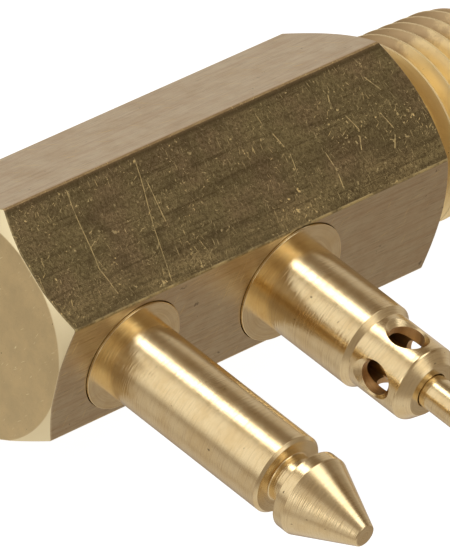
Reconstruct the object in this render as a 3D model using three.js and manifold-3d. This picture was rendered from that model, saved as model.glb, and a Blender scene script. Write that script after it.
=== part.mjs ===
// Male two-prong quick-connect fuel fitting, turned from hexagonal brass bar.
// A taper pipe thread at one end takes the tank or pump port. Two prongs stand on one flat: a solid
// guide pin that the mating connector locks on, and a hollow valve prong with a sprung stem inside.
//
// Frame, in millimetres: origin at the centre of the blank end face, +X along the bar towards the
// thread, -Y the way the prongs point, +Z through one corner of the hexagon.
import * as THREE from "three";
import { mergeVertices } from "three/addons/utils/BufferGeometryUtils.js";
import Module from "manifold-3d";

const wasm = await Module();
wasm.setup();

// ---- Driving dimensions -------------------------------------------------------------------------

const hexAcrossFlats = 15.875; // 5/8 inch bar
const hexLength = 36.35;
const blankFaceRadius = 7.97; // flat circle inside the blank end's chamfer
const shoulderFaceRadius = 7.7; // the same at the threaded end
const chamferSlope = Math.tan(THREE.MathUtils.degToRad(32)); // axial length per radial length

const threadPitch = 25.4 / 18; // 1/4-18 taper pipe thread
const threadTaper = 1 / 32; // radius lost per unit of length
const threadCrestRadius = 6.89; // at the hexagon's shoulder
const threadDepth = 1.0;
const threadCrestFlat = 0.14;
const threadFlankSlope = Math.tan(THREE.MathUtils.degToRad(30));
const threadStart = 37.2;
const threadCrestAt = 38.35; // a crest passes here at the phase angle
const threadPhaseAngle = THREE.MathUtils.degToRad(85); // about +X, from +Y towards +Z
const threadEnd = 47.7;
const threadEndChamfer = 1.25;

const boreRadius = 3.7; // fuel bore along the bar
const boreFlatEnd = 17.6; // where the drill point starts
const drillPointSlope = 0.6; // depth of a drill's point per unit of radius

const pinStation = 7.05; // guide pin's axis along the bar
const valveStation = 21.7; // valve prong's axis along the bar
const seatDepth = 1.55; // of the counterbores that take the collars
const collarThickness = 1.5; // below the flat
const collarStand = 0.18; // above the flat
const collarEdge = 0.1;

const pinCollarRadius = 4;
const pinSeatRadius = 4.2;
const pinShankRadius = 2.91;
const pinSpigotRadius = 2.5;
const pinSpigotEnd = -5.0;
const pinGrooveStart = 14.5;
const pinGrooveEnd = 16.1;
const pinGrooveRadius = 1.75;
const pinConeStart = 16.95;
const pinTip = 21.6;
const pinTipRadius = 0.8;

const sleeveCollarRadius = 4.45;
const sleeveSeatRadius = 4.54;
const sleeveShankRadius = 3.15;
const sleeveSpigotRadius = 3.35;
const sleeveSpigotEnd = -4.2;
const sleeveStepStart = 7.95;
const sleeveStepEnd = 8.3;
const sleeveNeckRadius = 2.755; // the stretch with the cross holes
const sleeveNeckEnd = 12.5;
const sleeveEnd = 13.25;
const sleeveEndRadius = 1.95;
const springChamberRadius = 2.45;
const valveSeatLevel = 6.6;
const passageRadius = 1.85;
const passageEnd = 12.1;
const stemGuideRadius = 1.27;
const crossHoleLevel = 10.3;
const crossHoleRadius = 1.2;
const countersinkRadius = 1.63; // where a cross hole meets the neck's surface
const sealGrooveRadius = 2.85;
const sealGrooveBottom = -3.25;
const sealGrooveTop = -2.35;

const stemRadius = 1.19;
const stemTip = 18.0;
const poppetRadius = 2.2;
const poppetBack = 4.6;
const poppetFront = 5.52;
const stemTail = 3.4;
const stemTailRadius = 1.15;

const retainerBottom = -4.1;
const retainerTop = -3.0;
const retainerHoleRadius = 1.3;

const springCoilRadius = 1.85;
const springWireRadius = 0.2;
const springTurns = 7;

const fitGap = 0.06; // radial, between a turned piece and the hole that it is pressed into
const restGap = 0.05; // between pieces that rest on each other

const roundSides = 32;
const holeSides = 20;

// ---- Tools --------------------------------------------------------------------------------------

const hexCornerRadius = hexAcrossFlats / Math.sqrt(3);
const flatLevel = hexAcrossFlats / 2;

function solidFrom(geometry) {
  const bare = geometry.clone();
  bare.deleteAttribute("normal");
  bare.deleteAttribute("uv");
  const merged = mergeVertices(bare, 1e-4);
  return new wasm.Manifold(
    new wasm.Mesh({
      numProp: 3,
      vertProperties: new Float32Array(merged.attributes.position.array),
      triVerts: new Uint32Array(merged.index.array),
    }),
  );
}

function geometryFrom(solid) {
  const mesh = solid.getMesh();
  const geometry = new THREE.BufferGeometry();
  const position = new THREE.BufferAttribute(mesh.vertProperties, 3);
  geometry.setAttribute("position", position);
  geometry.setIndex(new THREE.BufferAttribute(mesh.triVerts, 1));
  geometry.computeVertexNormals();
  return geometry;
}

// A turned shape about the Y axis, from [radius, level] points that close on the axis or on themselves.
function turned(points, sides = roundSides) {
  let twiceArea = 0;
  points.forEach(([radius, level], i) => {
    const [nextRadius, nextLevel] = points[(i + 1) % points.length];
    twiceArea += radius * nextLevel - nextRadius * level;
  });
  const ordered = twiceArea > 0 ? points : [...points].reverse();
  const profile = ordered.map(([radius, level]) => new THREE.Vector2(radius, level));
  if (ordered.every(([radius]) => radius > 0)) profile.push(profile[0].clone());
  return new THREE.LatheGeometry(profile, sides);
}

// Turns a shape made about +Y so that it lies along the bar.
function alongBar(geometry) {
  return geometry.rotateZ(-Math.PI / 2);
}

// Moves a shape made about +Y, level 0 on the flat, to a prong's station, pointing out of the flat.
function atStation(geometry, station) {
  return geometry.rotateX(Math.PI).translate(station, -flatLevel, 0);
}

function brass(color, roughness = 0.35) {
  return new THREE.MeshStandardMaterial({ color, roughness, metalness: 1 });
}

function named(name, geometry, material) {
  const mesh = new THREE.Mesh(geometry, material);
  mesh.name = name;
  return mesh;
}

// ---- Hexagonal body -----------------------------------------------------------------------------

// The ridge of the thread: a trapezium swept along the tapering helix, with capped ends.
function threadRidge() {
  const baseDepth = threadDepth + 0.06;
  const runOut = 0.3; // turns over which the ridge rises out of the core
  const step = (2 * Math.PI) / roundSides;
  const sectionAt = (x) =>
    Math.round((threadPhaseAngle + ((x - threadCrestAt) / threadPitch) * 2 * Math.PI) / step);
  const firstSection = sectionAt(threadStart);
  const sections = sectionAt(threadEnd + threadPitch) - firstSection;
  const halfBase = threadCrestFlat / 2 + baseDepth * threadFlankSlope;
  const positions = [];
  for (let i = 0; i <= sections; i++) {
    const angle = (firstSection + i) * step;
    const x = threadCrestAt + ((angle - threadPhaseAngle) / (2 * Math.PI)) * threadPitch;
    const crest = threadCrestRadius - (x - hexLength) * threadTaper;
    const base = crest - baseDepth;
    const rise = Math.min(1, 0.04 + i / (roundSides * runOut));
    const outer = base + baseDepth * rise;
    const corners = [
      [x - halfBase, base],
      [x - threadCrestFlat / 2, outer],
      [x + threadCrestFlat / 2, outer],
      [x + halfBase, base],
    ];
    for (const [along, radius] of corners)
      positions.push(along, radius * Math.cos(angle), radius * Math.sin(angle));
  }
  const corner = (section, k) => section * 4 + (k % 4);
  const faces = [0, 1, 2, 0, 2, 3];
  for (let i = 0; i < sections; i++)
    for (let k = 0; k < 4; k++) {
      faces.push(corner(i, k), corner(i + 1, k), corner(i, k + 1));
      faces.push(corner(i, k + 1), corner(i + 1, k), corner(i + 1, k + 1));
    }
  faces.push(...[0, 2, 1, 0, 3, 2].map((k) => corner(sections, k)));
  const geometry = new THREE.BufferGeometry();
  geometry.setAttribute("position", new THREE.Float32BufferAttribute(positions, 3));
  geometry.setIndex(faces);
  return geometry;
}

function hexBar() {
  const bar = new THREE.CylinderGeometry(hexCornerRadius, hexCornerRadius, hexLength, 6);
  bar.translate(0, hexLength / 2, 0);
  const reach = hexCornerRadius + 1;
  const envelope = turned(
    [
      [0, 0],
      [blankFaceRadius, 0],
      [reach, (reach - blankFaceRadius) * chamferSlope],
      [reach, hexLength - (reach - shoulderFaceRadius) * chamferSlope],
      [shoulderFaceRadius, hexLength],
      [0, hexLength],
    ],
    72,
  );
  return solidFrom(alongBar(bar)).intersect(solidFrom(alongBar(envelope)));
}

function threadedEnd() {
  const coreAtShoulder = threadCrestRadius - threadDepth;
  const coreAtEnd = coreAtShoulder - (threadEnd + 1 - hexLength) * threadTaper;
  const core = turned([
    [0, hexLength - 1],
    [coreAtShoulder, hexLength - 1],
    [coreAtShoulder, hexLength],
    [coreAtEnd, threadEnd + 1],
    [0, threadEnd + 1],
  ]);
  const reach = threadCrestRadius + 1;
  const endRadius = threadCrestRadius - (threadEnd - hexLength) * threadTaper - threadEndChamfer;
  const envelope = turned([
    [0, hexLength - 1],
    [reach, hexLength - 1],
    [reach, threadEnd - (reach - endRadius)],
    [endRadius, threadEnd],
    [0, threadEnd],
  ]);
  return solidFrom(alongBar(core))
    .add(solidFrom(threadRidge()))
    .intersect(solidFrom(alongBar(envelope)));
}

function fuelBore() {
  const mouth = 0.5; // countersink at the thread's end
  return turned([
    [0, boreFlatEnd - boreRadius * drillPointSlope],
    [boreRadius, boreFlatEnd],
    [boreRadius, threadEnd - mouth],
    [boreRadius + 2 * mouth, threadEnd + mouth],
    [0, threadEnd + mouth],
  ]);
}

// A counterbored hole in the flat, blind or opening into the fuel bore.
function prongSeat(seatRadius, holeRadius, holeEnd, station) {
  const hole = turned([
    [0, holeEnd - holeRadius * drillPointSlope],
    [holeRadius, holeEnd],
    [holeRadius, -seatDepth],
    [seatRadius, -seatDepth],
    [seatRadius, 1],
    [0, 1],
  ]);
  return solidFrom(atStation(hole, station));
}

function hexBody() {
  const pinHoleEnd = pinSpigotEnd - 0.3;
  const valveHoleEnd = -flatLevel + 1;
  const body = hexBar()
    .add(threadedEnd())
    .subtract(solidFrom(alongBar(fuelBore())))
    .subtract(prongSeat(pinSeatRadius, pinSpigotRadius + fitGap, pinHoleEnd, pinStation))
    .subtract(
      prongSeat(sleeveSeatRadius, sleeveSpigotRadius + fitGap, valveHoleEnd, valveStation),
    );
  return named("hex_body", geometryFrom(body), brass(0x8f7a4a, 0.4));
}

// ---- Prongs, made about +Y with level 0 on the body's flat ------------------------------------

function guidePin() {
  const coneSlope = (pinShankRadius - pinTipRadius) / (pinTip - pinConeStart);
  const tipRound = 0.12;
  const profile = [
    [0, pinSpigotEnd],
    [pinSpigotRadius - 0.2, pinSpigotEnd],
    [pinSpigotRadius, pinSpigotEnd + 0.2],
    [pinSpigotRadius, -collarThickness],
    [pinCollarRadius, -collarThickness],
    [pinCollarRadius, collarStand - collarEdge],
    [pinCollarRadius - collarEdge, collarStand],
    [pinShankRadius + collarEdge, collarStand],
    [pinShankRadius, collarStand + collarEdge],
    [pinShankRadius, pinGrooveStart - 0.2],
    [pinShankRadius - 0.2, pinGrooveStart],
    [pinGrooveRadius, pinGrooveStart],
    [pinGrooveRadius, pinGrooveEnd],
    [pinShankRadius - 0.08, pinGrooveEnd],
    [pinShankRadius, pinGrooveEnd + 0.08],
    [pinShankRadius, pinConeStart],
    [pinTipRadius + tipRound * coneSlope, pinTip - tipRound],
    [pinTipRadius - tipRound, pinTip],
    [0, pinTip],
  ];
  return named("guide_pin", turned(profile), brass(0xc9a25c, 0.25));
}

function crossHoleCutter() {
  const reach = 1;
  const coneStart = sleeveNeckRadius - (countersinkRadius - crossHoleRadius);
  const half = [
    [crossHoleRadius, coneStart],
    [countersinkRadius + reach, sleeveNeckRadius + reach],
    [0, sleeveNeckRadius + reach],
  ];
  const mirrored = half.map(([radius, level]) => [radius, -level]).reverse();
  return turned([...mirrored, ...half], holeSides);
}

function valveSleeve() {
  const profile = [
    [springChamberRadius + 0.15, sleeveSpigotEnd],
    [sleeveSpigotRadius - 0.2, sleeveSpigotEnd],
    [sleeveSpigotRadius, sleeveSpigotEnd + 0.2],
    [sleeveSpigotRadius, sealGrooveBottom],
    [sealGrooveRadius, sealGrooveBottom],
    [sealGrooveRadius, sealGrooveTop],
    [sleeveSpigotRadius, sealGrooveTop],
    [sleeveSpigotRadius, -collarThickness],
    [sleeveCollarRadius, -collarThickness],
    [sleeveCollarRadius, collarStand - collarEdge],
    [sleeveCollarRadius - collarEdge, collarStand],
    [sleeveShankRadius + collarEdge, collarStand],
    [sleeveShankRadius, collarStand + collarEdge],
    [sleeveShankRadius, sleeveStepStart],
    [sleeveNeckRadius, sleeveStepEnd],
    [sleeveNeckRadius, sleeveNeckEnd],
    [sleeveEndRadius, sleeveEnd],
    [stemGuideRadius + 0.12, sleeveEnd],
    [stemGuideRadius, sleeveEnd - 0.12],
    [stemGuideRadius, passageEnd + 0.25],
    [passageRadius, passageEnd],
    [passageRadius, valveSeatLevel],
    [springChamberRadius, valveSeatLevel],
    [springChamberRadius, sleeveSpigotEnd + 0.15],
  ];
  const along = crossHoleCutter().rotateZ(Math.PI / 2);
  const upright = crossHoleCutter().rotateX(Math.PI / 2);
  const sleeve = solidFrom(turned(profile))
    .subtract(solidFrom(along.translate(0, crossHoleLevel, 0)))
    .subtract(solidFrom(upright.translate(0, crossHoleLevel, 0)));
  return named("valve_sleeve", geometryFrom(sleeve), brass(0xcdaa66, 0.25));
}

function valveStem() {
  const profile = [
    [0, stemTail],
    [stemTailRadius - 0.15, stemTail],
    [stemTailRadius, stemTail + 0.15],
    [stemTailRadius, poppetBack],
    [poppetRadius, poppetBack],
    [poppetRadius, poppetFront],
    [stemRadius, poppetFront],
    [stemRadius, stemTip - 0.45],
    [stemRadius * 0.85, stemTip - 0.15],
    [stemRadius * 0.5, stemTip],
    [0, stemTip],
  ];
  return named("valve_stem", turned(profile, holeSides), brass(0xd3ae68, 0.22));
}

function ring(name, centreRadius, sectionRadius, level) {
  const geometry = new THREE.TorusGeometry(centreRadius, sectionRadius, 10, 32);
  geometry.rotateX(Math.PI / 2).translate(0, level, 0);
  const rubber = new THREE.MeshStandardMaterial({ color: 0x1c1b1a, roughness: 0.75 });
  return named(name, geometry, rubber);
}

// Seals against the corner where the passage meets the spring chamber.
function poppetRing() {
  const section = 0.5;
  const centre = stemRadius + section + restGap / 2;
  const reach = section + restGap;
  const level = valveSeatLevel - Math.sqrt(reach ** 2 - (passageRadius - centre) ** 2);
  return ring("poppet_o_ring", centre, section, Math.max(level, poppetFront + section + 0.02));
}

function sleeveRing() {
  const outer = sleeveSpigotRadius + fitGap - 0.02;
  const inner = sealGrooveRadius + 0.03;
  const level = (sealGrooveBottom + sealGrooveTop) / 2;
  return ring("sleeve_o_ring", (outer + inner) / 2, (outer - inner) / 2, level);
}

// A compression spring with one closed turn at each end.
class SpringPath extends THREE.Curve {
  constructor(bottom, top) {
    super();
    this.bottom = bottom;
    this.top = top;
  }
  getPoint(t, target = new THREE.Vector3()) {
    const turn = t * springTurns;
    const closedRise = 2 * springWireRadius + 0.04;
    const openRise = (this.top - this.bottom - 2 * closedRise) / (springTurns - 2);
    const low = Math.min(turn, 1) * closedRise;
    const open = Math.min(Math.max(turn - 1, 0), springTurns - 2) * openRise;
    const high = Math.max(turn - springTurns + 1, 0) * closedRise;
    const angle = turn * 2 * Math.PI;
    return target.set(
      springCoilRadius * Math.cos(angle),
      this.bottom + low + open + high,
      springCoilRadius * Math.sin(angle),
    );
  }
}

function returnSpring() {
  const wire = new THREE.Shape().absarc(0, 0, springWireRadius, 0, 2 * Math.PI, false);
  const bottom = retainerTop + springWireRadius + restGap;
  const top = poppetBack - springWireRadius - restGap;
  const geometry = new THREE.ExtrudeGeometry(wire, {
    steps: springTurns * 16,
    curveSegments: 3,
    extrudePath: new SpringPath(bottom, top),
  });
  const steel = new THREE.MeshStandardMaterial({ color: 0xb9bcc0, roughness: 0.3, metalness: 1 });
  return named("return_spring", geometry, steel);
}

function springRetainer() {
  const outer = springChamberRadius - fitGap;
  const profile = [
    [retainerHoleRadius, retainerBottom],
    [outer - 0.15, retainerBottom],
    [outer, retainerBottom + 0.15],
    [outer, retainerTop],
    [retainerHoleRadius, retainerTop],
  ];
  return named("spring_retainer", turned(profile), brass(0xb89656, 0.35));
}

// ---- Assembly -----------------------------------------------------------------------------------

function prong(station, ...pieces) {
  const group = new THREE.Group();
  group.position.set(station, -flatLevel, 0);
  group.rotation.x = Math.PI;
  group.add(...pieces);
  return group;
}

const fitting = new THREE.Group();
fitting.add(hexBody());
fitting.add(prong(pinStation, guidePin()));
fitting.add(
  prong(
    valveStation,
    valveSleeve(),
    sleeveRing(),
    springRetainer(),
    returnSpring(),
    valveStem(),
    poppetRing(),
  ),
);

export default fitting;
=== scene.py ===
"""Looks for a two-prong male quick-connect fitting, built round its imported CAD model.

Sizes are in millimetres and become metres where a mesh is made. The frame is the CAD model's: +X
along the bar towards the thread, -Y the way the prongs point, and +Z through a corner of the
hexagon. Along a prong, "reach" counts from the flat that it stands on: outward is positive.
"""

import math

import bmesh
import bpy
from mathutils import Matrix, Quaternion, Vector


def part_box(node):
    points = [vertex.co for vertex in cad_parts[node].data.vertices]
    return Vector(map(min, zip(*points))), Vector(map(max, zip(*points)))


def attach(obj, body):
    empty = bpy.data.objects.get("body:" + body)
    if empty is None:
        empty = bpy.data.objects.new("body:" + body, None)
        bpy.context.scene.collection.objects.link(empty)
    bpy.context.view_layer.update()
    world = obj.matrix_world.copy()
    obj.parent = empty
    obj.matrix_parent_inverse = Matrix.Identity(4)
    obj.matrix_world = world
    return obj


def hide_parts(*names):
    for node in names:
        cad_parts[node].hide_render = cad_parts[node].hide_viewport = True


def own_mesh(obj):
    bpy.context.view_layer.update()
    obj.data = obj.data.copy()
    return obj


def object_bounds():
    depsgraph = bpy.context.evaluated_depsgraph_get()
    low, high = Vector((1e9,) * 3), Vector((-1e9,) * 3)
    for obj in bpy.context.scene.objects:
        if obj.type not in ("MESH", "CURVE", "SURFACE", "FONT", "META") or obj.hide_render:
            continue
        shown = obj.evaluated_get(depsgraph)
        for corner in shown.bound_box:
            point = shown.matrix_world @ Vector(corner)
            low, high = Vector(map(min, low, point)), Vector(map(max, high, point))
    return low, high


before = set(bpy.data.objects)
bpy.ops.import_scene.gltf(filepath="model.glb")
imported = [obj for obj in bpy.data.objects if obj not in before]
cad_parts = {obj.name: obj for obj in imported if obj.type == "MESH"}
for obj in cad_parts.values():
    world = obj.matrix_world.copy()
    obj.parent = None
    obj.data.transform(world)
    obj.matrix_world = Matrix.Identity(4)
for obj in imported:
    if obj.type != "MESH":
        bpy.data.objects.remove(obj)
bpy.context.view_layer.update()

MM = 0.001

# ---- Sizes taken from the frame -----------------------------------------------------------------


def station(node):
    """Where a prong's axis is along the bar."""
    low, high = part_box(node)
    return (low.x + high.x) / 2 / MM


def reach(node):
    """The reach of a node's inner and outer ends."""
    low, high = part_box(node)
    return -high.y / MM - FLAT, -low.y / MM - FLAT


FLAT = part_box("hex_body")[1].y / MM  # from the bar's axis to each flat
HEX_CORNER = FLAT / math.cos(math.radians(30))
THREAD_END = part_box("hex_body")[1].x / MM
PIN_STATION = station("guide_pin")
VALVE_STATION = station("valve_sleeve")
PIN_BOTTOM, PIN_TIP = reach("guide_pin")
SLEEVE_BOTTOM, SLEEVE_END = reach("valve_sleeve")
STEM_BOTTOM, STEM_TIP = reach("valve_stem")
RETAINER_BOTTOM, RETAINER_TOP = reach("spring_retainer")

# ---- Sizes of the details -----------------------------------------------------------------------

HEX_LENGTH = 36.35
HEX_FILLET = 0.22
ROUNDED_CORNER = 9.13  # from the axis to the top of a rounded corner
BAR_SIDES = 144
BLANK_FACE_RADIUS = 7.97
SHOULDER_RADIUS = 7.7
CHAMFER_SLOPE = math.tan(math.radians(32))
EDGE_SOFTNESS = 0.03
EDGE_BREAK = 0.09  # the least width of the chamfers, at the middle of each flat

THREAD_PITCH = 25.4 / 18
THREAD_TAPER = 1 / 32
THREAD_HALF_ANGLE = math.radians(30)
THREAD_CREST = 6.88
THREAD_DEPTH = 1.05
THREAD_CREST_FLAT = 0.13
THREAD_CREST_AT = 38.35  # a crest passes here
THREAD_CREST_ANGLE = math.radians(85)  # at this angle from +Y towards +Z
THREAD_RELIEF_END = 37.4
THREAD_RELIEF_SLOPE = 1.2
THREAD_END_CHAMFER = 1.25
BORE_RADIUS = 3.7
BORE_MOUTH = 4.2
BORE_DEPTH = 17.6
DRILL_POINT = 0.6  # depth of a drill's point per unit of radius
CUTTER_PHASE = 0.37  # keeps a cutter's corners off the lines of the mesh that it cuts
CUTTER_STAND = 1  # how far a cutter stands out of what it cuts

SEAT_DEPTH = 1.3
SEAT_EDGE = 0.02  # taken off the sharp edge of each counterbore
SPIGOT_GAP = 0.06
PIN_HOLE_END = -5.3
SLEEVE_HOLE_END = -6.94  # inside the fuel bore
PIN_SEAT_RADIUS = 4.13
SLEEVE_SEAT_RADIUS = 4.54
COLLAR_BOTTOM = 0.1 - SEAT_DEPTH
COLLAR_STAND = 0.18
COLLAR_FILLET = 0.03
SPIGOT_FILLET = 0.2

PIN_COLLAR_RADIUS = 4.09
PIN_SPIGOT_RADIUS = 2.5
PIN_RADIUS = 2.91
GROOVE_START, GROOVE_END = 14.5, 16.1
GROOVE_RADIUS = 1.75
GROOVE_CHAMFER = 0.2
CONE_START = 16.95
PIN_TIP_RADIUS = 0.8

SLEEVE_COLLAR_RADIUS = 4.5
SLEEVE_SPIGOT_RADIUS = 3.35
SLEEVE_RADIUS = 3.145
NECK_START, NECK_STEP = 8.3, 7.93
NECK_RADIUS = 2.755
NECK_END = 12.5
SLEEVE_END_RADIUS = 1.95
SEAL_GROOVE_RADIUS = 2.85
SEAL_GROOVE_BOTTOM, SEAL_GROOVE_TOP = -3.25, -2.35
CHAMBER_RADIUS = 2.45
VALVE_SEAT = 6.6
PASSAGE_RADIUS = 1.85
PASSAGE_END = 12.1
PASSAGE_CONE = 0.25
STEM_GUIDE_RADIUS = 1.25
CROSS_HOLE_AT = 10.3
CROSS_HOLE_RADIUS = 1.2
COUNTERSINK_RADIUS = 1.63

STEM_RADIUS = 1.19
STEM_TAIL_RADIUS = 1.15
POPPET_RADIUS = 2.2
POPPET_BACK, POPPET_FRONT = 4.6, 5.52

RETAINER_HOLE_RADIUS = 1.3
RETAINER_GAP = 0.06
SEAL_GAP = 0.015
MOULD_LINE = 0.012
WIRE_RADIUS = 0.2
WIRE_GAP = 0.02
COIL_RADIUS = 1.85
COIL_TURNS = 7

PRONG_SIDES = 160
SMALL_SIDES = 96
DRILL_SIDES = 72
SEAL_SIDES = 24
WIRE_SIDES = 12
WIRE_STEPS = 40  # per turn of the coil

FLATS_SLOT, ENDS_SLOT, THREAD_SLOT, BORE_SLOT = range(4)  # the bar's materials
DRILLED_SLOT = 1  # of the hollow prong's materials
ON_FACE = 0.01  # how near a face's centre has to be to count as on a surface

# Edges sharper than this, in degrees, are shaded as edges.
SHARP_ANGLE = 32
BAR_SHARP_ANGLE = 29

# ---- Meshes -------------------------------------------------------------------------------------


def piece_from(name, bm, materials, sharp_angle=SHARP_ANGLE):
    """An object from a bmesh in millimetres, with doubled vertices welded and normals outward."""
    bmesh.ops.remove_doubles(bm, verts=bm.verts, dist=1e-4)
    bmesh.ops.dissolve_degenerate(bm, edges=bm.edges, dist=1e-5)
    bmesh.ops.recalc_face_normals(bm, faces=bm.faces)
    bmesh.ops.scale(bm, vec=(MM, MM, MM), verts=bm.verts)
    mesh = bpy.data.meshes.new(name)
    bm.to_mesh(mesh)
    bm.free()
    piece = bpy.data.objects.new(name, mesh)
    bpy.context.scene.collection.objects.link(piece)
    for material in materials:
        mesh.materials.append(material)
    shade(mesh, sharp_angle)
    return piece


def shade(mesh, sharp_angle):
    """Smooth shading that keeps edges sharper than the angle."""
    mesh.shade_smooth()
    mesh.set_sharp_from_angle(angle=math.radians(sharp_angle))


def skin(bm, rows, slot=0, shift=0):
    """Faces between rows of vertices that run once round.

    At the seam, each row goes on as the row that is shift rows after it, as a helix does.
    """
    for i, row in enumerate(rows[:-1]):
        after = rows[i + 1]
        for j in range(len(row) - 1):
            face = bm.faces.new((row[j], row[j + 1], after[j + 1], after[j]))
            face.material_index = slot
        if i + 1 + shift < len(rows):
            onward, onward_after = rows[i + shift], rows[i + 1 + shift]
            face = bm.faces.new((row[-1], onward[0], onward_after[0], after[-1]))
            face.material_index = slot


def rounded(corners, segments=4):
    """A polyline from (radius, reach, fillet) corners, with an arc where there is a fillet."""
    points = []
    count = len(corners)
    for i, (radius, along, fillet) in enumerate(corners):
        here = Vector((radius, along))
        if not fillet:
            points.append(here)
            continue
        before = (Vector(corners[i - 1][:2]) - here).normalized()
        after = (Vector(corners[(i + 1) % count][:2]) - here).normalized()
        half = before.angle(after) / 2
        back = fillet / math.tan(half)
        centre = here + (before + after).normalized() * fillet / math.sin(half)
        start, end = here + before * back, here + after * back
        points.append(start + before * fillet)  # keeps the shading of the sides flat
        for k in range(segments + 1):
            between = start.lerp(end, k / segments) - centre
            points.append(centre + between.normalized() * fillet)
        points.append(end + after * fillet)
    return points


def turned(name, at, outline, materials, sides=PRONG_SIDES, ring=False, phase=0.0):
    """A turned piece about a prong's axis, from its (radius, reach) outline.

    A ring's outline closes on itself, and any other starts and ends on the axis.
    """
    bm = bmesh.new()
    rows = []
    for radius, along in outline:
        row = []
        for j in range(sides):
            angle = 2 * math.pi * (j + phase) / sides
            across = radius * math.cos(angle)
            row.append(bm.verts.new((at + across, -FLAT - along, radius * math.sin(angle))))
        rows.append(row)
    if ring:
        rows.append(rows[0])
    skin(bm, rows)
    return piece_from(name, bm, materials)


def cut(piece, cutters, sharp_angle=SHARP_ANGLE):
    """Takes the cutters out of the piece."""
    for cutter in cutters:
        modifier = piece.modifiers.new("cut", "BOOLEAN")
        modifier.operation = "DIFFERENCE"
        modifier.solver = "EXACT"
        modifier.object = cutter
    bpy.context.view_layer.update()
    evaluated = piece.evaluated_get(bpy.context.evaluated_depsgraph_get())
    mesh = bpy.data.meshes.new_from_object(evaluated)
    piece.modifiers.clear()
    piece.data = mesh
    shade(mesh, sharp_angle)
    for cutter in cutters:
        bpy.data.objects.remove(cutter)


# ---- Hexagonal bar with its thread and bore -----------------------------------------------------


def bar_angles():
    """Angles about the bar from +Y towards +Z, closer together at the hexagon's corners."""
    fillet_angle = math.degrees(HEX_FILLET * math.tan(math.radians(30)) / HEX_CORNER)
    angles = {round(360 * i / BAR_SIDES, 3) for i in range(BAR_SIDES)}
    for k in range(6):
        for share in (-1.6, -1, -0.5, 0.5, 1, 1.6):
            angles.add(round(30 + 60 * k + share * fillet_angle, 3))
    return [math.radians(a) for a in sorted(angles)]


def hex_radius(angle):
    """From the axis to the rounded hexagon."""
    thirty = math.radians(30)
    off_corner = abs(angle % (2 * thirty) - thirty)
    centre = HEX_CORNER - HEX_FILLET / math.cos(thirty)
    if off_corner * HEX_CORNER < HEX_FILLET * math.tan(thirty):
        across = centre * math.sin(off_corner)
        return centre * math.cos(off_corner) + math.sqrt(HEX_FILLET**2 - across**2)
    return FLAT / math.cos(thirty - off_corner)


def thread_radius(angle, x):
    """From the axis to the thread's surface."""
    crest_at = THREAD_CREST_AT + (angle - THREAD_CREST_ANGLE) / (2 * math.pi) * THREAD_PITCH
    off_crest = abs((x - crest_at + THREAD_PITCH / 2) % THREAD_PITCH - THREAD_PITCH / 2)
    depth = (off_crest - THREAD_CREST_FLAT / 2) / math.tan(THREAD_HALF_ANGLE)
    crest = THREAD_CREST - (x - HEX_LENGTH) * THREAD_TAPER
    ridge = crest - min(max(depth, 0), THREAD_DEPTH)
    relief = crest - THREAD_DEPTH + max(0, x - THREAD_RELIEF_END) * THREAD_RELIEF_SLOPE
    end = THREAD_CREST - (THREAD_END - HEX_LENGTH) * THREAD_TAPER - THREAD_END_CHAMFER
    return min(ridge, relief, end + THREAD_END - x)


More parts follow.
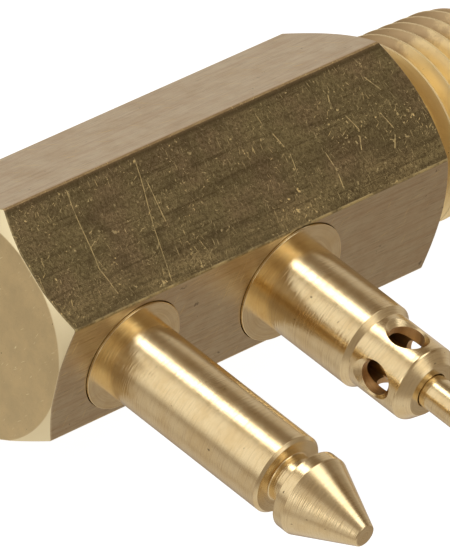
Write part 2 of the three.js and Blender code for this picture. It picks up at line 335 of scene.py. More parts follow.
def build_bar(flats, turned_ends, thread, bore):
    """The bar as one closed mesh: rings from the blank end along the outside and up the bore."""
    bm = bmesh.new()
    angles = bar_angles()

    def row(place):
        """One vertex per angle; place gives its distance along the bar and from the axis."""
        made = []
        for angle in angles:
            x, radius = place(angle)
            made.append(bm.verts.new((x, radius * math.cos(angle), radius * math.sin(angle))))
        return made

    def circle(x, radius):
        return row(lambda angle: (x, radius))

    def face_radius_at(angle, face_radius):
        return min(face_radius, hex_radius(angle) - EDGE_BREAK)

    def edge(face_radius, inward=0.0, beyond=0.0):
        """Near the edge between a chamfer and the flats: inward of it, or beyond it."""

        def place(angle):
            radius = hex_radius(angle)
            chamfer = (radius - inward - face_radius_at(angle, face_radius)) * CHAMFER_SLOPE
            return chamfer + beyond, radius - inward

        return place

    def face_edge(face_radius, outward):
        """Near the edge between an end face and its chamfer."""

        def place(angle):
            radius = face_radius_at(angle, face_radius) + outward
            return max(outward, 0) * CHAMFER_SLOPE, radius

        return place

    def mirrored(place):
        """The same place at the shoulder's end of the hexagon."""

        def far(angle):
            x, radius = place(angle)
            return HEX_LENGTH - x, radius

        return far

    soft = EDGE_SOFTNESS
    blank_end = [
        circle(0, 0),
        row(face_edge(BLANK_FACE_RADIUS, -soft)),
        row(face_edge(BLANK_FACE_RADIUS, soft)),
        row(edge(BLANK_FACE_RADIUS, inward=soft, beyond=soft / 4)),
    ]
    sides = [
        blank_end[-1],
        row(edge(BLANK_FACE_RADIUS, beyond=2 * soft)),
        row(edge(BLANK_FACE_RADIUS, beyond=5 * soft)),
        row(mirrored(edge(SHOULDER_RADIUS, beyond=5 * soft))),
        row(mirrored(edge(SHOULDER_RADIUS, beyond=soft))),
        row(mirrored(edge(SHOULDER_RADIUS, inward=soft))),
    ]
    shoulder = [
        sides[-1],
        row(mirrored(face_edge(SHOULDER_RADIUS, soft))),
        row(mirrored(face_edge(SHOULDER_RADIUS, -soft))),
        row(lambda angle: (HEX_LENGTH, thread_radius(angle, HEX_LENGTH))),
    ]
    skin(bm, blank_end, ENDS_SLOT)
    skin(bm, sides, FLATS_SLOT)
    skin(bm, shoulder, ENDS_SLOT)
    skin(bm, thread_rows(row), THREAD_SLOT, shift=len(thread_offsets()))
    end_radius = thread_radius(0, THREAD_END)
    mouth = BORE_MOUTH - BORE_RADIUS
    bore_rows = [
        circle(THREAD_END, BORE_MOUTH),
        circle(THREAD_END - mouth, BORE_RADIUS),
        circle(BORE_DEPTH, BORE_RADIUS),
        circle(BORE_DEPTH - BORE_RADIUS * DRILL_POINT, 0),
    ]
    skin(bm, [circle(THREAD_END, end_radius), bore_rows[0]], ENDS_SLOT)
    skin(bm, bore_rows, BORE_SLOT)
    materials = [flats, turned_ends, thread, bore]
    return piece_from("bar_and_thread", bm, materials, BAR_SHARP_ANGLE)


def thread_offsets():
    """Distances from a crest, over one pitch, at which the thread's section has its corners."""
    crest = THREAD_CREST_FLAT / 2
    foot = crest + THREAD_DEPTH * math.tan(THREAD_HALF_ANGLE)
    flank = [crest + (foot - crest) * share for share in (0.25, 0.5, 0.75, 1)]
    rising = [-distance for distance in reversed(flank)]
    return [-THREAD_PITCH / 2, *rising, -crest, 0, crest, *flank]


def thread_rows(row):
    """Rows that follow the helix, held between the shoulder and the thread's end."""
    offsets = thread_offsets()
    first = math.floor((HEX_LENGTH - THREAD_CREST_AT) / THREAD_PITCH) - 2
    last = math.ceil((THREAD_END - THREAD_CREST_AT) / THREAD_PITCH) + 2

    def place(along):
        def at(angle):
            turn = (angle - THREAD_CREST_ANGLE) / (2 * math.pi)
            x = THREAD_CREST_AT + turn * THREAD_PITCH + along
            x = min(max(x, HEX_LENGTH), THREAD_END)
            return x, thread_radius(angle, x)

        return at

    return [
        row(place(n * THREAD_PITCH + offset)) for n in range(first, last) for offset in offsets
    ]


def seat_cutter(at, seat_radius, hole_radius, hole_end, bar):
    """Cuts the counterbore for a collar, its sharp edge taken off, and the spigot's hole."""
    outline = [
        (0, hole_end - DRILL_POINT * hole_radius),
        (hole_radius, hole_end),
        (hole_radius, -SEAT_DEPTH),
        (seat_radius, -SEAT_DEPTH),
        (seat_radius, -SEAT_EDGE),
        (seat_radius + SEAT_EDGE, 0),
        (seat_radius + SEAT_EDGE, CUTTER_STAND),
        (0, CUTTER_STAND),
    ]
    cutter = turned("cutter", at, outline, list(bar.data.materials), phase=CUTTER_PHASE)
    use_slot(cutter, BORE_SLOT, lambda centre: centre.y > -FLAT + SEAT_DEPTH + ON_FACE)
    return cutter


# ---- Prongs -------------------------------------------------------------------------------------


def build_pin(brass):
    """The solid prong, with its collar, locking groove and cone."""
    corners = [
        (0, PIN_BOTTOM, 0),
        (PIN_SPIGOT_RADIUS, PIN_BOTTOM, SPIGOT_FILLET),
        (PIN_SPIGOT_RADIUS, COLLAR_BOTTOM, 0),
        (PIN_COLLAR_RADIUS, COLLAR_BOTTOM, 0),
        (PIN_COLLAR_RADIUS, COLLAR_STAND, COLLAR_FILLET),
        (PIN_RADIUS, COLLAR_STAND, 0),
        (PIN_RADIUS, GROOVE_START - GROOVE_CHAMFER, 0.03),
        (PIN_RADIUS - GROOVE_CHAMFER, GROOVE_START, 0.03),
        (GROOVE_RADIUS, GROOVE_START, 0.1),
        (GROOVE_RADIUS, GROOVE_END, 0.1),
        (PIN_RADIUS, GROOVE_END, 0.05),
        (PIN_RADIUS, CONE_START, 0.08),
        (PIN_TIP_RADIUS, PIN_TIP, 0.15),
        (0, PIN_TIP, 0),
    ]
    return turned("guide_pin_turned", PIN_STATION, rounded(corners), [brass])


def use_slot(piece, slot, chosen):
    """Gives the slot to the faces whose centre, in millimetres, is chosen."""
    for face in piece.data.polygons:
        if chosen(face.center / MM):
            face.material_index = slot


def build_sleeve(brass, drilled):
    """The hollow prong, with its seal's groove, neck, cross holes, chamber, seat and stem guide."""
    corners = [
        (CHAMBER_RADIUS, SLEEVE_BOTTOM, 0),
        (SLEEVE_SPIGOT_RADIUS, SLEEVE_BOTTOM, SPIGOT_FILLET),
        (SLEEVE_SPIGOT_RADIUS, SEAL_GROOVE_BOTTOM, 0),
        (SEAL_GROOVE_RADIUS, SEAL_GROOVE_BOTTOM, 0.08),
        (SEAL_GROOVE_RADIUS, SEAL_GROOVE_TOP, 0.08),
        (SLEEVE_SPIGOT_RADIUS, SEAL_GROOVE_TOP, 0),
        (SLEEVE_SPIGOT_RADIUS, COLLAR_BOTTOM, 0),
        (SLEEVE_COLLAR_RADIUS, COLLAR_BOTTOM, 0),
        (SLEEVE_COLLAR_RADIUS, COLLAR_STAND, COLLAR_FILLET),
        (SLEEVE_RADIUS, COLLAR_STAND, 0),
        (SLEEVE_RADIUS, NECK_STEP, 0.04),
        (NECK_RADIUS, NECK_START, 0.04),
        (NECK_RADIUS, NECK_END, 0.3),
        (SLEEVE_END_RADIUS, SLEEVE_END, 0.12),
        (STEM_GUIDE_RADIUS, SLEEVE_END, 0.05),
        (STEM_GUIDE_RADIUS, PASSAGE_END + PASSAGE_CONE, 0),
        (PASSAGE_RADIUS, PASSAGE_END, 0),
        (PASSAGE_RADIUS, VALVE_SEAT, 0),
        (CHAMBER_RADIUS, VALVE_SEAT, 0),
    ]
    outline = rounded(corners)
    sleeve = turned("valve_sleeve_turned", VALVE_STATION, outline, [brass, drilled], ring=True)
    use_slot(sleeve, DRILLED_SLOT, inside_sleeve)
    cut(sleeve, [cross_hole_cutter("X", sleeve), cross_hole_cutter("Z", sleeve)])
    return sleeve


def inside_sleeve(centre):
    """Whether a face's centre is on the wall of the chamber or the passage."""
    radius = math.hypot(centre.x - VALVE_STATION, centre.z)
    along = -FLAT - centre.y
    return radius < CHAMBER_RADIUS + ON_FACE and along < PASSAGE_END + PASSAGE_CONE


def cross_hole_cutter(axis, sleeve):
    """A drill right through the neck, with a countersink where it comes out on each side."""
    cone_start = NECK_RADIUS - (COUNTERSINK_RADIUS - CROSS_HOLE_RADIUS)
    half = [
        (CROSS_HOLE_RADIUS, cone_start),
        (COUNTERSINK_RADIUS + CUTTER_STAND, NECK_RADIUS + CUTTER_STAND),
        (0, NECK_RADIUS + CUTTER_STAND),
    ]
    outline = [(radius, -along) for radius, along in reversed(half)] + half
    materials = list(sleeve.data.materials)
    cutter = turned("cutter", 0, outline, materials, sides=DRILL_SIDES, phase=CUTTER_PHASE)
    use_slot(cutter, DRILLED_SLOT, lambda centre: abs(centre.y + FLAT) < cone_start)
    cutter.data.transform(Matrix.Translation((0, FLAT * MM, 0)))
    turn = Matrix.Rotation(math.radians(90), 4, "Z" if axis == "X" else "X")
    place = Vector((VALVE_STATION * MM, -(FLAT + CROSS_HOLE_AT) * MM, 0))
    cutter.data.transform(Matrix.Translation(place) @ turn)
    return cutter


def build_stem(brass):
    """The valve stem, with its poppet part of the way along."""
    corners = [
        (0, STEM_BOTTOM, 0),
        (STEM_TAIL_RADIUS, STEM_BOTTOM, 0.1),
        (STEM_TAIL_RADIUS, POPPET_BACK, 0),
        (POPPET_RADIUS, POPPET_BACK, 0.05),
        (POPPET_RADIUS, POPPET_FRONT, 0.05),
        (STEM_RADIUS, POPPET_FRONT, 0),
        (STEM_RADIUS, STEM_TIP, 0.5),
        (0, STEM_TIP, 0),
    ]
    outline = rounded(corners)
    return turned("valve_stem_turned", VALVE_STATION, outline, [brass], sides=SMALL_SIDES)


def build_retainer(brass):
    """The ring that the spring stands on."""
    outer = CHAMBER_RADIUS - RETAINER_GAP
    corners = [
        (RETAINER_HOLE_RADIUS, RETAINER_BOTTOM, 0.1),
        (outer, RETAINER_BOTTOM, 0.15),
        (outer, RETAINER_TOP, 0.05),
        (RETAINER_HOLE_RADIUS, RETAINER_TOP, 0.1),
    ]
    return turned("spring_retainer_ring", VALVE_STATION, rounded(corners), [brass], ring=True)


def build_seal(name, node, rubber):
    """An O-ring, with the fine line that its mould leaves round it."""
    low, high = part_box(node)
    section = (high.y - low.y) / 2 / MM
    centre = (high.x - low.x) / 2 / MM - section
    level = -(high.y + low.y) / 2 / MM - FLAT
    outline = []
    for k in range(SEAL_SIDES):
        angle = 2 * math.pi * k / SEAL_SIDES
        flash = MOULD_LINE if k % (SEAL_SIDES // 2) == 0 else 0
        distance = section - SEAL_GAP + flash
        outline.append((centre + distance * math.cos(angle), level + distance * math.sin(angle)))
    return turned(name, VALVE_STATION, outline, [rubber], sides=SMALL_SIDES, ring=True)


def build_spring(steel):
    """A compression spring between the retainer and the poppet, with a closed turn at each end."""
    bm = bmesh.new()
    bottom = RETAINER_TOP + WIRE_RADIUS + WIRE_GAP
    top = POPPET_BACK - WIRE_RADIUS - WIRE_GAP
    closed = 2 * WIRE_RADIUS + WIRE_GAP
    pitch = (top - bottom - 2 * closed) / (COIL_TURNS - 2)
    rows = []
    for i in range(COIL_TURNS * WIRE_STEPS + 1):
        turn = i / WIRE_STEPS
        level = bottom + min(turn, 1) * closed
        level += min(max(turn - 1, 0), COIL_TURNS - 2) * pitch
        level += max(turn - COIL_TURNS + 1, 0) * closed
        angle = 2 * math.pi * turn
        row = []
        for k in range(WIRE_SIDES):
            round_wire = 2 * math.pi * k / WIRE_SIDES
            radius = COIL_RADIUS + WIRE_RADIUS * math.cos(round_wire)
            along = level + WIRE_RADIUS * math.sin(round_wire)
            x = VALVE_STATION + radius * math.cos(angle)
            row.append(bm.verts.new((x, -FLAT - along, radius * math.sin(angle))))
        rows.append(row)
    skin(bm, rows)
    bm.faces.new(rows[0])
    bm.faces.new(rows[-1])
    return piece_from("return_spring_coil", bm, [steel])


# ---- Materials ----------------------------------------------------------------------------------


class Graph:
    """A node tree, with a short call for each kind of node used here."""

    def __init__(self, tree):
        self.nodes, self.links = tree.nodes, tree.links

    def plug(self, socket, value):
        if isinstance(value, bpy.types.NodeSocket):
            self.links.new(value, socket)
        elif value is not None:
            socket.default_value = value

    def math(self, operation, a, b=None, c=None, clamp=False):
        node = self.nodes.new("ShaderNodeMath")
        node.operation = operation
        node.use_clamp = clamp
        for socket, value in zip(node.inputs, (a, b, c)):
            self.plug(socket, value)
        return node.outputs[0]

    def fold(self, operation, first, *others):
        """The same operation over several values in turn."""
        for other in others:
            first = self.math(operation, first, other)
        return first

    def vector(self, operation, a, b=None, scale=None):
        node = self.nodes.new("ShaderNodeVectorMath")
        node.operation = operation
        self.plug(node.inputs[0], a)
        self.plug(node.inputs[1], b)
        if scale is not None:
            self.plug(node.inputs["Scale"], scale)
        scalar = operation in ("DOT_PRODUCT", "LENGTH", "DISTANCE")
        return node.outputs["Value" if scalar else "Vector"]

    def split(self, vector):
        node = self.nodes.new("ShaderNodeSeparateXYZ")
        self.plug(node.inputs[0], vector)
        return node.outputs[0], node.outputs[1], node.outputs[2]

    def join(self, x, y, z):
        node = self.nodes.new("ShaderNodeCombineXYZ")
        for socket, value in zip(node.inputs, (x, y, z)):
            self.plug(socket, value)
        return node.outputs[0]

    def noise(self, vector, scale=1.0, detail=2.0, roughness=0.5):
        node = self.nodes.new("ShaderNodeTexNoise")
        self.plug(node.inputs["Vector"], vector)
        node.inputs["Scale"].default_value = scale
        node.inputs["Detail"].default_value = detail
        node.inputs["Roughness"].default_value = roughness
        return node.outputs[0]

    def band(self, value, low, high, start=0.0, end=1.0):
        """Runs smoothly from start at low to end at high."""
        node = self.nodes.new("ShaderNodeMapRange")
        node.interpolation_type = "SMOOTHSTEP"
        self.plug(node.inputs["Value"], value)
        limits = {"From Min": low, "From Max": high, "To Min": start, "To Max": end}
        for name, number in limits.items():
            node.inputs[name].default_value = number
        return node.outputs[0]

    def mix(self, share, a, b):
        """A blend of two colours: a where the share is 0, b where it is 1."""
        node = self.nodes.new("ShaderNodeMix")
        node.data_type = "RGBA"
        self.plug(node.inputs["Factor"], share)
        for name, value in (("A", a), ("B", b)):
            socket = next(s for s in node.inputs if s.name == name and s.type == "RGBA")
            self.plug(socket, value if isinstance(value, bpy.types.NodeSocket) else (*value, 1))
        return next(s for s in node.outputs if s.type == "RGBA")


class Paint(Graph):
    """The node tree of a new material, round one shader."""

    def __init__(self, name):
        self.material = bpy.data.materials.new(name)
        self.material.use_nodes = True
        super().__init__(self.material.node_tree)
        self.nodes.clear()
        output = self.nodes.new("ShaderNodeOutputMaterial")
        self.shader = self.nodes.new("ShaderNodeBsdfPrincipled")
        self.links.new(self.shader.outputs[0], output.inputs["Surface"])
        coordinates = self.nodes.new("ShaderNodeTexCoord").outputs["Object"]
        self.place = self.vector("SCALE", coordinates, scale=1 / MM)  # in millimetres

    def bump(self, height, depth, below=None):
        """Raises the surface by depth, in millimetres, where height is 1."""
        node = self.nodes.new("ShaderNodeBump")
        node.inputs["Distance"].default_value = depth * MM
        self.plug(node.inputs["Height"], height)
        self.plug(node.inputs["Normal"], below)
        return node.outputs[0]

    def finish(self, colour, roughness, normal, metallic=1.0, anisotropy=0.0, tangent=None):
        """Sets the shader, and gives the material. A tangent is the axis that grooves run round."""
        inputs = self.shader.inputs
        self.plug(inputs["Base Color"], colour)
        self.plug(inputs["Roughness"], roughness)
        self.plug(inputs["Normal"], normal)
        inputs["Metallic"].default_value = metallic
        inputs["Anisotropic"].default_value = anisotropy
        if tangent:
            node = self.nodes.new("ShaderNodeTangent")
            node.direction_type = "RADIAL"
            node.axis = tangent
            self.plug(inputs["Tangent"], node.outputs[0])
        return self.material


BRIGHT = (0.84, 0.69, 0.41)
DRAWN = (0.62, 0.51, 0.325)
OLIVE = (0.31, 0.252, 0.12)
RUSSET = (0.33, 0.24, 0.13)
# the golden colour of the painted reflection of the prongs on the worn flat
PRONG_REFLECTION_GOLD = (0.48, 0.385, 0.18)
STAINED = (0.54, 0.39, 0.22)
BROWNED = (0.5, 0.35, 0.2)
EDGE = (0.58, 0.4, 0.2)
# DARK is dark dirt and specks, and also the painted shade along the worn flat's corners
DARK = (0.11, 0.08, 0.04)
CLEAN = (0.98, 0.88, 0.58)
BARED = (0.95, 0.78, 0.4)
FACED = (0.8, 0.645, 0.36)
CUT = (0.95, 0.77, 0.43)

PRONG_ROUGHNESS = 0.19
BAR_AXIS = (1, 0, 0)
PRONG_AXIS = (0, 1, 0)
WORN_FLAT_NORMAL = (0, -0.5, 0.866)
WORN_FLAT_ACROSS = (0, 0.866, 0.5)
SHORT_SCRATCHES = 11


def worn_scratches():
    """Scratches on the worn flat: start and end along and across it, and half-width."""
    pin = PIN_STATION
    lines = [
        ((pin + 5, 4.2), (pin + 3, -4.2), 0.045),  # the longest, right across the flat
        ((pin + 5, 2.5), (pin + 5, -0.5), 0.045),
        ((pin - 1, 4), (pin - 2, -1.5), 0.05),
        ((pin - 2, -1.5), (pin - 1.5, -3.5), 0.05),
    ]
    for i in range(SHORT_SCRATCHES):  # the steps of the fractions spread them evenly
        along = VALVE_STATION + 1.5 + 12 * (0.755 * i % 1)
        across = 3.5 - 6 * (0.57 * i % 1)
        length = 0.7 + 0.8 * (0.618 * i % 1)
        lean = 0.5 * math.sin(4 * i)
        half_width = 0.045 + 0.03 * (0.382 * i % 1)
        lines.append(((along, across), (along - lean, across - length), half_width))
    return lines


def about(paint, direction, place=None):
    """Distance from the axis that runs through the origin this way, and distance along it."""
    place = place or paint.place
    along = paint.vector("DOT_PRODUCT", place, direction)
    across = paint.vector("SUBTRACT", place, paint.vector("SCALE", Vector(direction), scale=along))
    return paint.vector("LENGTH", across), along


def specks(paint, scale, share, sharpness=0.03, seed=0.0):
    """Irregular spots: 1 on a spot and 0 off it. The share is the height of noise they need."""
    moved = paint.vector("ADD", paint.place, (seed, seed * 1.7, -seed))
    height = paint.noise(moved, scale=scale, detail=3, roughness=0.6)
    return paint.band(height, share, share + sharpness)


def scratches(paint, along, across, angle, length, width, share):
    """Thin marks of one direction on a flat: 1 on a mark and 0 off it."""
    cosine, sine = math.cos(angle), math.sin(angle)
    run = paint.math("MULTIPLY_ADD", along, cosine, paint.math("MULTIPLY", across, sine))
    side = paint.math("MULTIPLY_ADD", across, cosine, paint.math("MULTIPLY", along, -sine))
    run, side = paint.math("DIVIDE", run, length), paint.math("DIVIDE", side, width)
    return paint.band(paint.noise(paint.join(run, side, angle * 7), detail=0), share, share + 0.06)


def scratch(paint, spot, start, end, half_width):
    """One straight scratch on a flat: 1 on it and 0 off it."""
    start = Vector((*start, 0))
    run = Vector((*end, 0)) - start
    reached = paint.vector("SUBTRACT", spot, start)
    onward = paint.vector("DOT_PRODUCT", reached, run)
    share = paint.math("DIVIDE", onward, run.length_squared, clamp=True)
    gap = paint.vector("DISTANCE", reached, paint.vector("SCALE", run, scale=share))
    return paint.band(gap, half_width, half_width * 0.4)


def worn_marks(paint, along, across):
    """Flecks and scratches on the worn flat: 1 on a mark and 0 off it."""
    flecks = [specks(paint, 2.2, 0.655, 0.04), specks(paint, 4.5, 0.655, 0.05, seed=31.0)]
    for angle, length, width, share in (
        (1.4, 1.1, 0.08, 0.785),
        (1.75, 0.8, 0.07, 0.785),
        (1.1, 0.7, 0.07, 0.8),
        (2.4, 0.5, 0.07, 0.8),
        (0.5, 0.6, 0.07, 0.81),
    ):
        flecks.append(scratches(paint, along, across, angle, length, width, share))
    cluster = paint.noise(paint.place, scale=0.3, detail=3, roughness=0.6)
    cluster = paint.band(cluster, 0.38, 0.6, 0.35, 1)
    marks = paint.math("MULTIPLY", paint.fold("MAXIMUM", *flecks), cluster)

    wobble = paint.noise(paint.place, scale=0.15, detail=0)
    wobble = paint.math("MULTIPLY_ADD", wobble, 1.2, -0.6)
    spot = paint.join(paint.math("ADD", along, wobble), across, 0.0)
    broken = paint.band(paint.noise(paint.place, scale=2.5, detail=2), 0.35, 0.55, 0.25, 0.88)
    for start, end, half_width in worn_scratches():
        line = paint.math("MULTIPLY", scratch(paint, spot, start, end, half_width * 0.8), broken)
        marks = paint.math("MAXIMUM", marks, line)
    return marks


def plain_skin(paint, mottle, lines, fine_lines):
    """The colour of the flats that only dulled: browned in streaks, with a few dark spots."""
    colour = paint.mix(paint.band(mottle, 0.35, 0.65, 0, 0.35), DRAWN, BROWNED)
    colour = paint.mix(paint.band(lines, 0.44, 0.66, 0, 0.65), colour, BROWNED)
    colour = paint.mix(paint.band(fine_lines, 0.52, 0.7, 0, 0.35), colour, DARK)
    spots = paint.math("MULTIPLY", specks(paint, 1.2, 0.69, 0.05, seed=23.0), 0.6)
    return paint.mix(spots, colour, DARK)


def worn_skin(paint, mottle, lines, grain, across):
    """The colour of the worn flat: olive and russet, with a painted golden reflection of the prongs
    near them, and dark dirt.
    """
    patches = paint.noise(paint.place, scale=0.22, detail=4, roughness=0.6)
    colour = paint.mix(paint.band(patches, 0.4, 0.65, 0, 0.8), OLIVE, RUSSET)
    # Painted reflection: a golden glow of the prongs on the worn flat, on its side next to them,
    # broken into patches
    near_prongs = paint.band(across, -1.5, -4.2)
    painted_prong_reflection = paint.math("MULTIPLY", near_prongs, paint.band(patches, 0.35, 0.6, 0.2, 0.7))
    colour = paint.mix(painted_prong_reflection, colour, PRONG_REFLECTION_GOLD)
    streaked = paint.vector("MULTIPLY", paint.place, (0.15, 1, 1))
    zones = paint.noise(streaked, scale=0.7, detail=3, roughness=0.6)
    for dirt, low, high, most in (
        (grain, 0.42, 0.62, 0.6),
        (lines, 0.5, 0.66, 0.6),
        (zones, 0.45, 0.65, 0.35),
        (mottle, 0.48, 0.66, 0.5),
    ):
        colour = paint.mix(paint.band(dirt, low, high, 0, most), colour, DARK)
    return colour


def drawn_brass():
    """Old drawn bar: dull, with lengthwise lines. The flat above the prongs is dark and marked,
    with painted shade along its corners.
    """
    paint = Paint("drawn_brass")
    x, _, z = paint.split(paint.place)
    across = paint.vector("DOT_PRODUCT", paint.place, WORN_FLAT_ACROSS)
    out = paint.vector("DOT_PRODUCT", paint.place, WORN_FLAT_NORMAL)
    worn = paint.band(out, FLAT - 0.16, FLAT - 0.05)
    radius, _ = about(paint, BAR_AXIS)
    below_corner = paint.math("SUBTRACT", ROUNDED_CORNER, radius)  # 0 along the six corners
    streaked = paint.vector("MULTIPLY", paint.place, (0.04, 1, 1))
    lines = paint.noise(streaked, scale=3, detail=5, roughness=0.8)
    fine_lines = paint.noise(streaked, scale=14, detail=3, roughness=0.7)
    mottle = paint.noise(paint.place, scale=0.5, detail=6, roughness=0.7)
    grain = paint.noise(paint.place, scale=4.5, detail=3, roughness=0.85)

    plain = plain_skin(paint, mottle, lines, fine_lines)
    colour = paint.mix(worn, plain, worn_skin(paint, mottle, lines, grain, across))
    top_edge = paint.band(below_corner, 0.15, 0.03, 0, 0.7)
    top_edge = paint.math("MULTIPLY", top_edge, paint.band(z, 7, 8))
    colour = paint.mix(top_edge, colour, EDGE)
    # Painted shade: a dark, ragged band just off the corners of the worn flat, strongest towards
    # the top corner
    ragged_shade_reach = paint.math("SUBTRACT", below_corner, paint.band(grain, 0.3, 0.7, 0.07, -0.07))
    painted_corner_shade = paint.fold(
        "MULTIPLY",
        paint.band(ragged_shade_reach, 0.25, 0.13),
        paint.band(below_corner, 0.01, 0.05),
        worn,
        paint.band(across, -4.2, 3, 0.3, 1),
    )
    colour = paint.mix(paint.math("MULTIPLY", painted_corner_shade, 0.75), colour, DARK)

    marks = paint.fold(
        "MULTIPLY",
        worn_marks(paint, x, across),
        paint.band(worn, 0, 1, 0.05, 1),
        # the marks fade inside the painted corner shade
        paint.band(painted_corner_shade, 0, 1, 1, 0.15),
        0.85,
    )
    edge_wear = paint.fold(
        "MULTIPLY",
        paint.band(below_corner, 0.04, 0.01),
        paint.band(mottle, 0.42, 0.58, 0.1, 0.6),
        paint.band(z, 8, 5, 0.25, 1),
    )
    nicks = paint.fold(
        "MAXIMUM",
        scratches(paint, x, z, 1.2, 1.3, 0.1, 0.77),
        scratches(paint, x, z, 0.25, 1.6, 0.1, 0.77),
        specks(paint, 2.6, 0.7, seed=17.0),
    )
    nicks = paint.math("MULTIPLY", nicks, paint.band(worn, 0, 1, 0.4, 0))
    marks = paint.fold("MAXIMUM", marks, edge_wear, nicks)
    colour = paint.mix(marks, colour, BARED)

    roughness = paint.math("MULTIPLY_ADD", marks, 0.5, paint.band(mottle, 0.35, 0.7, 0.32, 0.4))
    normal = paint.bump(fine_lines, 0.004)
    normal = paint.bump(lines, 0.012, below=normal)
    normal = paint.bump(paint.math("MULTIPLY", grain, worn), 0.03, below=normal)
    return paint.finish(colour, roughness, normal)


def faced_brass():
    """End faces and chamfers: turned across the bar, dulled and specked."""
    paint = Paint("faced_brass")
    _, y, z = paint.split(paint.place)
    radius, along = about(paint, BAR_AXIS)
    rings = paint.noise(paint.join(radius, along, 0.0), scale=7, detail=4, roughness=0.8)
    mottle = paint.noise(paint.place, scale=0.45, detail=5, roughness=0.65)
    grain = paint.noise(paint.place, scale=8, detail=3, roughness=0.7)
    colour = paint.mix(paint.band(mottle, 0.3, 0.7), FACED, tuple(0.86 * c for c in FACED))
    colour = paint.mix(paint.band(grain, 0.55, 0.8, 0, 0.5), colour, BROWNED)
    colour = paint.mix(specks(paint, 2.2, 0.74, seed=9.0), colour, DARK)
    from_face = paint.math("MINIMUM", along, paint.math("SUBTRACT", HEX_LENGTH, along))
    marks = paint.fold(
        "MAXIMUM",
        scratches(paint, y, z, 2.3, 1.0, 0.09, 0.8),
        scratches(paint, y, z, 1.9, 0.6, 0.08, 0.8),
        paint.band(from_face, 0.01, 0.05, 0, 0.9),  # the chamfers are brighter
    )
    colour = paint.mix(marks, colour, CLEAN)
    normal = paint.bump(rings, 0.005)
    normal = paint.bump(grain, 0.006, below=normal)
    return paint.finish(colour, paint.band(mottle, 0.3, 0.7, 0.46, 0.38), normal)


def prong_brass(name, node):
    """Bright brass from the lathe, with fine lines round a prong's axis and a few dark specks."""
    paint = Paint(name)
    offset = paint.vector("SUBTRACT", paint.place, (station(node), 0, 0))
    radius, along = about(paint, PRONG_AXIS, offset)
    broken = paint.vector("DOT_PRODUCT", offset, (0.05, 0, 0.05))  # so that lines end
    lines = paint.noise(paint.join(radius, along, broken), scale=11, detail=1.5, roughness=0.6)
    bands = paint.noise(paint.join(radius, along, 0.0), scale=0.9, detail=3, roughness=0.6)
    stain = paint.noise(paint.place, scale=0.6, detail=5, roughness=0.65)
    tarnished = tuple(c * share for c, share in zip(BRIGHT, (0.93, 0.88, 0.8)))
    tone = paint.mix(paint.band(stain, 0.35, 0.7), BRIGHT, tarnished)
    tone = paint.mix(paint.band(lines, 0.45, 0.75, 0, 0.24), tone, BROWNED)
    tone = paint.mix(paint.math("MULTIPLY", specks(paint, 3.0, 0.7, seed=4.0), 0.7), tone, DARK)
    rough = paint.band(bands, 0.3, 0.7, 0.9 * PRONG_ROUGHNESS, 1.15 * PRONG_ROUGHNESS)
    grain = paint.noise(paint.place, scale=9, detail=2, roughness=0.7)
    normal = paint.bump(lines, 0.011)
    normal = paint.bump(grain, 0.003, below=normal)
    return paint.finish(tone, rough, normal, anisotropy=0.5, tangent="Y")


def thread_brass():
    """The thread, cut about the bar's axis: stained on top, with pale worn crests."""
    paint = Paint("thread_brass")
    _, y, _ = paint.split(paint.place)
    radius, along = about(paint, BAR_AXIS)
    lines = paint.noise(paint.join(radius, along, 0.0), scale=6, detail=3, roughness=0.8)
    stain = paint.noise(paint.place, scale=0.8, detail=5, roughness=0.65)
    stain = paint.math("ADD", paint.band(y, -1.5, 3.5), paint.band(stain, 0.3, 0.7, -0.3, 0.3))
    tone = paint.mix(paint.band(stain, 0.1, 0.9, 0, 0.85), CUT, STAINED)
    tone = paint.mix(specks(paint, 2.4, 0.72, seed=2.0), tone, DARK)
    untapered = paint.math("MULTIPLY_ADD", along, THREAD_TAPER, radius)
    top = THREAD_CREST + HEX_LENGTH * THREAD_TAPER
    crest = paint.band(untapered, top - 0.05, top - 0.01, 0, 0.7)
    tone = paint.mix(crest, tone, CLEAN)
    rough = paint.math("MULTIPLY_ADD", crest, 0.45, paint.band(lines, 0.3, 0.7, 0.36, 0.46))
    return paint.finish(tone, rough, paint.bump(lines, 0.006))


def bore_brass():
    """The drilled holes, darker and rougher than the outside."""
    paint = Paint("bore_brass")
    x, _, _ = paint.split(paint.place)
    lines = paint.noise(paint.join(x, 0.0, 0.0), scale=5, detail=3, roughness=0.7)
    tone = paint.mix(lines, (0.92, 0.64, 0.34), (0.64, 0.44, 0.23))
    return paint.finish(tone, paint.band(lines, 0.3, 0.7, 0.45, 0.6), paint.bump(lines, 0.01))


def spring_steel():
    """Drawn stainless wire with faint die lines."""
    paint = Paint("spring_steel")
    lines = paint.noise(paint.place, scale=9, detail=3, roughness=0.7)
    tone = paint.mix(lines, (0.5, 0.49, 0.47), (0.62, 0.61, 0.6))
    return paint.finish(tone, paint.band(lines, 0.3, 0.7, 0.2, 0.32), paint.bump(lines, 0.002))


def seal_rubber():
    """Moulded nitrile rubber with a faint bloom."""
    paint = Paint("seal_rubber")
    bloom = paint.noise(paint.place, scale=3, detail=5, roughness=0.7)
    tone = paint.mix(paint.band(bloom, 0.4, 0.75), (0.012, 0.012, 0.013), (0.035, 0.034, 0.033))
    rough = paint.band(bloom, 0.3, 0.7, 0.5, 0.68)
    return paint.finish(tone, rough, paint.bump(bloom, 0.006), metallic=0.0)


# ---- Stage --------------------------------------------------------------------------------------

CAMERA_TARGET = (17.3, -6.0, 0.85)
CAMERA_DISTANCE = 782.0
CAMERA_AZIMUTH = -52.56
CAMERA_ELEVATION = 36.62
CAMERA_ROLL = 13.16
CAMERA_LENS = 778.8
SENSOR_WIDTH = 36.0
CLIP_START, CLIP_END = 0.05, 50  # metres

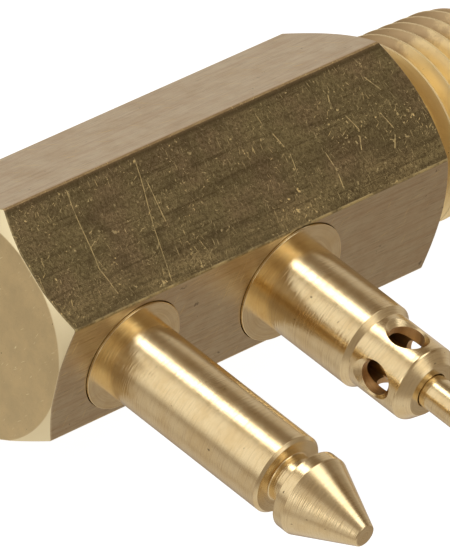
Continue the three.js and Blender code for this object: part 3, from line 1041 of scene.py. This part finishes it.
FLOOR_RADIUS = 6  # metres, so that the floor fills low views
FLOOR_GREY = (0.3, 0.3, 0.3)
FLOOR_GLOW = 0.95
WHITE = (1, 1, 1)
SKY = (0.345, 0.287, 0.238)
SOFT_LIGHTS = (
    # direction; half-width and softness of the edge in degrees; strength, where less than 0 darkens
    ((-0.10, 0.49, 0.87), 8, 5, 3.9),
    ((0.22, -0.17, 0.96), 14, 7, 1.9),
    ((0.02, -0.62, 0.78), 14, 8, 0.6),
    ((0.12, -0.87, 0.48), 13, 8, 0.8),
    ((0.68, -0.25, 0.69), 11, 9, -0.18),
    ((0.48, 0.47, 0.74), 10, 8, -0.14),
    ((-0.76, 0.49, 0.42), 25, 12, 0.66),
    ((-0.85, -0.27, 0.46), 12, 10, 0.4),
    ((-0.96, 0.0, 0.27), 9, 5, 1.15),
    ((-0.97, -0.2, 0.1), 10, 6, 0.8),
    ((-0.95, -0.18, -0.28), 10, 8, 0.35),
    ((-0.70, 0.49, -0.54), 15, 8, 0.24),
    ((0.60, 0.79, -0.05), 32, 18, 0.36),
    ((0.97, -0.10, -0.05), 16, 9, 0.25),
    ((-0.12, -0.22, -0.97), 42, 14, 0.36),
)


def add_camera():
    """The camera at the photograph's angle. At azimuth 0 it would face the prongs' tips."""
    azimuth, elevation = math.radians(CAMERA_AZIMUTH), math.radians(CAMERA_ELEVATION)
    level = math.cos(elevation)
    back = Vector((math.sin(azimuth) * level, -math.cos(azimuth) * level, math.sin(elevation)))
    camera = bpy.data.objects.new("camera", bpy.data.cameras.new("camera"))
    camera.data.lens = CAMERA_LENS
    camera.data.sensor_width = SENSOR_WIDTH
    camera.data.clip_start, camera.data.clip_end = CLIP_START, CLIP_END
    camera.location = (Vector(CAMERA_TARGET) + back * CAMERA_DISTANCE) * MM
    roll = Quaternion((0, 0, 1), math.radians(CAMERA_ROLL))
    camera.rotation_mode = "QUATERNION"
    camera.rotation_quaternion = (-back).to_track_quat("-Z", "Y") @ roll
    bpy.context.scene.collection.objects.link(camera)
    bpy.context.scene.camera = camera


def add_floor():
    """A plain white floor that glows, like a light table."""
    bm = bmesh.new()
    bmesh.ops.create_circle(bm, cap_ends=True, segments=96, radius=FLOOR_RADIUS)
    mesh = bpy.data.meshes.new("floor")
    bm.to_mesh(mesh)
    bm.free()
    floor = bpy.data.objects.new("floor", mesh)
    floor.location.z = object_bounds()[0].z
    bpy.context.scene.collection.objects.link(floor)
    material = bpy.data.materials.new("floor_white")
    material.use_nodes = True
    shader = material.node_tree.nodes["Principled BSDF"]
    shader.inputs["Base Color"].default_value = (*FLOOR_GREY, 1)
    shader.inputs["Roughness"].default_value = 0.9
    shader.inputs["Specular IOR Level"].default_value = 0.1
    shader.inputs["Emission Color"].default_value = (*WHITE, 1)
    shader.inputs["Emission Strength"].default_value = FLOOR_GLOW
    mesh.materials.append(material)
    floor.visible_glossy = False


def add_world():
    """A dim studio with soft lights, before a plain white backdrop that only the camera sees."""
    world = bpy.data.worlds.new("studio")
    bpy.context.scene.world = world
    world.use_nodes = True
    graph = Graph(world.node_tree)
    direction = graph.nodes.new("ShaderNodeTexCoord").outputs["Generated"]
    lights = []
    for centre, half_width, softness, strength in SOFT_LIGHTS:
        facing = graph.vector("DOT_PRODUCT", direction, Vector(centre).normalized())
        outer = math.cos(math.radians(half_width + softness))
        inner = math.cos(math.radians(half_width - softness))
        lights.append(graph.band(facing, outer, inner, 0, strength))
    studio = graph.vector("ADD", graph.fold("ADD", *lights), SKY)
    from_camera = graph.nodes.new("ShaderNodeLightPath").outputs["Is Camera Ray"]
    colour = graph.mix(from_camera, studio, WHITE)
    graph.plug(graph.nodes["Background"].inputs["Color"], colour)


def main():
    """Builds every piece, hangs it on the body that it rides on, and hides the CAD part that it
    stands for.
    """
    drilled = bore_brass()
    bar = build_bar(drawn_brass(), faced_brass(), thread_brass(), drilled)
    pin_hole = PIN_SPIGOT_RADIUS + SPIGOT_GAP
    sleeve_hole = SLEEVE_SPIGOT_RADIUS + SPIGOT_GAP
    seats = [
        seat_cutter(PIN_STATION, PIN_SEAT_RADIUS, pin_hole, PIN_HOLE_END, bar),
        seat_cutter(VALVE_STATION, SLEEVE_SEAT_RADIUS, sleeve_hole, SLEEVE_HOLE_END, bar),
    ]
    cut(bar, seats, BAR_SHARP_ANGLE)
    pin = build_pin(prong_brass("pin_brass", "guide_pin"))
    sleeve = build_sleeve(prong_brass("sleeve_brass", "valve_sleeve"), drilled)
    stem = build_stem(prong_brass("stem_brass", "valve_stem"))
    retainer = build_retainer(prong_brass("retainer_brass", "spring_retainer"))
    spring = build_spring(spring_steel())
    rubber = seal_rubber()
    poppet_seal = build_seal("poppet_seal", "poppet_o_ring", rubber)
    sleeve_seal = build_seal("sleeve_seal", "sleeve_o_ring", rubber)
    for piece, body, node, slot in (
        (bar, "fitting", "hex_body", "bar_brass"),
        (pin, "fitting", "guide_pin", "turned_brass"),
        (sleeve, "fitting", "valve_sleeve", "turned_brass"),
        (stem, "stem", "valve_stem", "turned_brass"),
        (retainer, "fitting", "spring_retainer", "turned_brass"),
        (spring, "fitting", "return_spring", "spring_steel"),
        (poppet_seal, "stem", "poppet_o_ring", "seal_rubber"),
        (sleeve_seal, "fitting", "sleeve_o_ring", "seal_rubber"),
    ):
        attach(piece, body)
        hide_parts(node)


main()
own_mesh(bpy.data.objects["return_spring_coil"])
add_floor()
add_world()
add_camera()
bpy.context.scene.view_settings.view_transform = "Standard"
